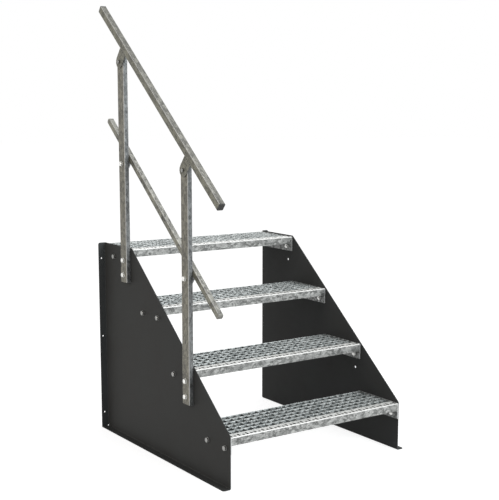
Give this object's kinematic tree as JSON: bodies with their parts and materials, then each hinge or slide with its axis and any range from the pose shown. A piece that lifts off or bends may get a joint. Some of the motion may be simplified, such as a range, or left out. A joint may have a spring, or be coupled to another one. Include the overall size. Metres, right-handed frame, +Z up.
{
  "type": "freestanding stairs",
  "caption": "Free-standing steel stairs: grating treads bolted between folded sheet cheeks, with a sloping handrail and mid rail on posts at the left.",
  "frame": {"origin": "on the floor, in the middle of the plan of the whole stair", "axes": "+Z up, +Y the way the user climbs, towards the wall, +X to the right of a user who climbs; the handrail is at -X"},
  "size_m": [0.866, 0.972, 1.7644],
  "materials": {
    "powder_coat": "dark anthracite powder coat, satin",
    "galvanised": "hot-dip galvanised steel, spangled and mottled",
    "zinc_plated": "bright zinc plated",
    "black_plastic": "matt",
    "grey_plastic": "matt, zinc grey"
  },
  "bodies": {
    "root": {"left_cheek": "powder_coat", "right_cheek": "powder_coat", "tread_1_grating": "galvanised", "tread_1_nosing": "galvanised", "tread_1_left_end_plate": "galvanised", "tread_1_right_end_plate": "galvanised", "tread_2_grating": "galvanised", "tread_2_nosing": "galvanised", "tread_2_left_end_plate": "galvanised", "tread_2_right_end_plate": "galvanised", "tread_3_grating": "galvanised", "tread_3_nosing": "galvanised", "tread_3_left_end_plate": "galvanised", "tread_3_right_end_plate": "galvanised", "tread_4_grating": "galvanised", "tread_4_nosing": "galvanised", "tread_4_left_end_plate": "galvanised", "tread_4_right_end_plate": "galvanised", "lower_post": "galvanised", "lower_post_cap": "black_plastic", "upper_post": "galvanised", "upper_post_cap": "black_plastic", "handrail_tube": "galvanised", "handrail_lower_cap": "black_plastic", "handrail_upper_cap": "black_plastic", "handrail_lower_tongue": "galvanised", "handrail_upper_tongue": "galvanised", "mid_rail_tube": "galvanised", "mid_rail_lower_cap": "grey_plastic", "mid_rail_upper_cap": "grey_plastic", "mid_rail_lower_tongue": "galvanised", "mid_rail_upper_tongue": "galvanised", "tread_1_left_front_bolt": "zinc_plated", "tread_1_left_rear_bolt": "zinc_plated", "tread_1_right_front_bolt": "zinc_plated", "tread_1_right_rear_bolt": "zinc_plated", "tread_2_left_rear_bolt": "zinc_plated", "tread_2_right_front_bolt": "zinc_plated", "tread_2_right_rear_bolt": "zinc_plated", "tread_3_left_front_bolt": "zinc_plated", "tread_3_left_rear_bolt": "zinc_plated", "tread_3_right_front_bolt": "zinc_plated", "tread_3_right_rear_bolt": "zinc_plated", "tread_4_left_rear_bolt": "zinc_plated", "tread_4_right_front_bolt": "zinc_plated", "tread_4_right_rear_bolt": "zinc_plated", "lower_post_upper_bolt": "zinc_plated", "lower_post_lower_bolt": "zinc_plated", "upper_post_upper_bolt": "zinc_plated", "upper_post_lower_bolt": "zinc_plated", "mid_rail_lower_bolt": "zinc_plated", "mid_rail_lower_nut": "zinc_plated", "mid_rail_upper_bolt": "zinc_plated", "mid_rail_upper_nut": "zinc_plated", "handrail_lower_bolt": "zinc_plated", "handrail_lower_nut": "zinc_plated", "handrail_upper_bolt": "zinc_plated", "handrail_upper_nut": "zinc_plated"}
  },
  "joints": []
}
